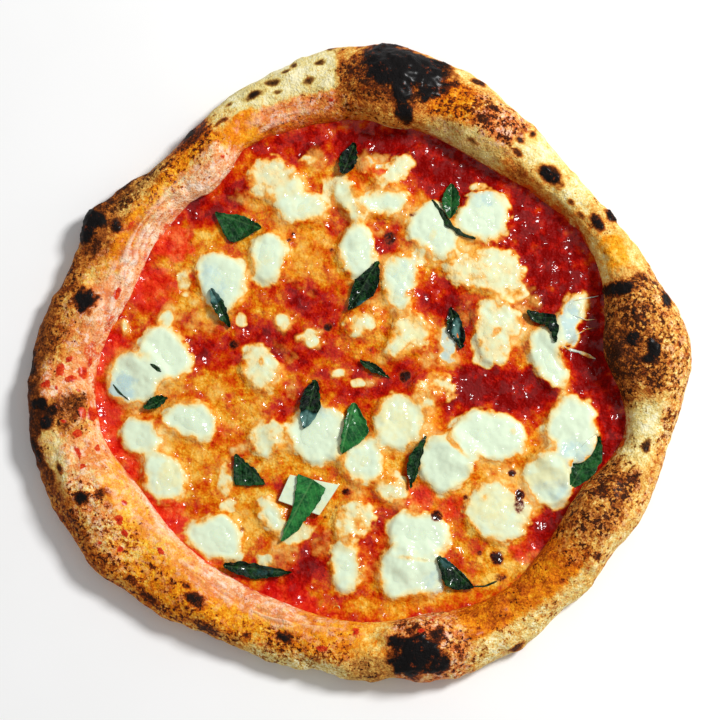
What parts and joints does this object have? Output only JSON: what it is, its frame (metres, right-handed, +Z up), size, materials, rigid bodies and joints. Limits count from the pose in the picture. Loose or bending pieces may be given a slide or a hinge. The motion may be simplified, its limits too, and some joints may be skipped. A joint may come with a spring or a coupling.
{
  "type": "margherita pizza",
  "caption": "Round wood-fired pizza with a tall blistered rim, tomato sauce, melted pieces of mozzarella and wilted basil leaves.",
  "frame": {"origin": "middle of the pizza's outline, on the surface it rests on", "axes": "+Z up, through the pizza's thickness; the picture was taken from the -Y side, nearly straight down"},
  "size_m": [0.319, 0.3112, 0.0283],
  "materials": {
    "crust": "baked wheat dough: cream to golden brown, freckled and charred in spots, dry and matt with a thin shine of oil inside the rim",
    "tomato_sauce": "cooked crushed tomato, deep red to oily orange, wet and finely grained",
    "mozzarella": "melted fresh mozzarella, milky white with cream and light brown edges, soft and moist",
    "basil": "basil leaf, dark green and wilted by the oven, with a thin shine of oil"
  },
  "bodies": {
    "root": {"crust": "crust", "tomato_sauce": "tomato_sauce", "mozzarella_01": "mozzarella", "mozzarella_02": "mozzarella", "mozzarella_03": "mozzarella", "mozzarella_04": "mozzarella", "mozzarella_05": "mozzarella", "mozzarella_06": "mozzarella", "mozzarella_07": "mozzarella", "mozzarella_08": "mozzarella", "mozzarella_09": "mozzarella", "mozzarella_10": "mozzarella", "mozzarella_11": "mozzarella", "mozzarella_12": "mozzarella", "mozzarella_13": "mozzarella", "mozzarella_14": "mozzarella", "mozzarella_15": "mozzarella", "mozzarella_16": "mozzarella", "mozzarella_17": "mozzarella", "mozzarella_18": "mozzarella", "mozzarella_19": "mozzarella", "mozzarella_20": "mozzarella", "mozzarella_21": "mozzarella", "mozzarella_22": "mozzarella", "mozzarella_23": "mozzarella", "mozzarella_24": "mozzarella", "mozzarella_25": "mozzarella", "mozzarella_26": "mozzarella", "mozzarella_27": "mozzarella", "mozzarella_28": "mozzarella", "mozzarella_29": "mozzarella", "mozzarella_30": "mozzarella", "mozzarella_31": "mozzarella", "mozzarella_32": "mozzarella", "mozzarella_33": "mozzarella", "mozzarella_34": "mozzarella", "mozzarella_35": "mozzarella", "mozzarella_36": "mozzarella", "mozzarella_37": "mozzarella", "mozzarella_38": "mozzarella", "mozzarella_39": "mozzarella", "mozzarella_40": "mozzarella", "mozzarella_slice": "mozzarella", "basil_01": "basil", "basil_02": "basil", "basil_03": "basil", "basil_04": "basil", "basil_05": "basil", "basil_06": "basil", "basil_07": "basil", "basil_08": "basil", "basil_09": "basil", "basil_10": "basil", "basil_11": "basil", "basil_12": "basil", "basil_13": "basil", "basil_14": "basil", "basil_15": "basil", "basil_16": "basil", "basil_17": "basil"}
  },
  "joints": []
}
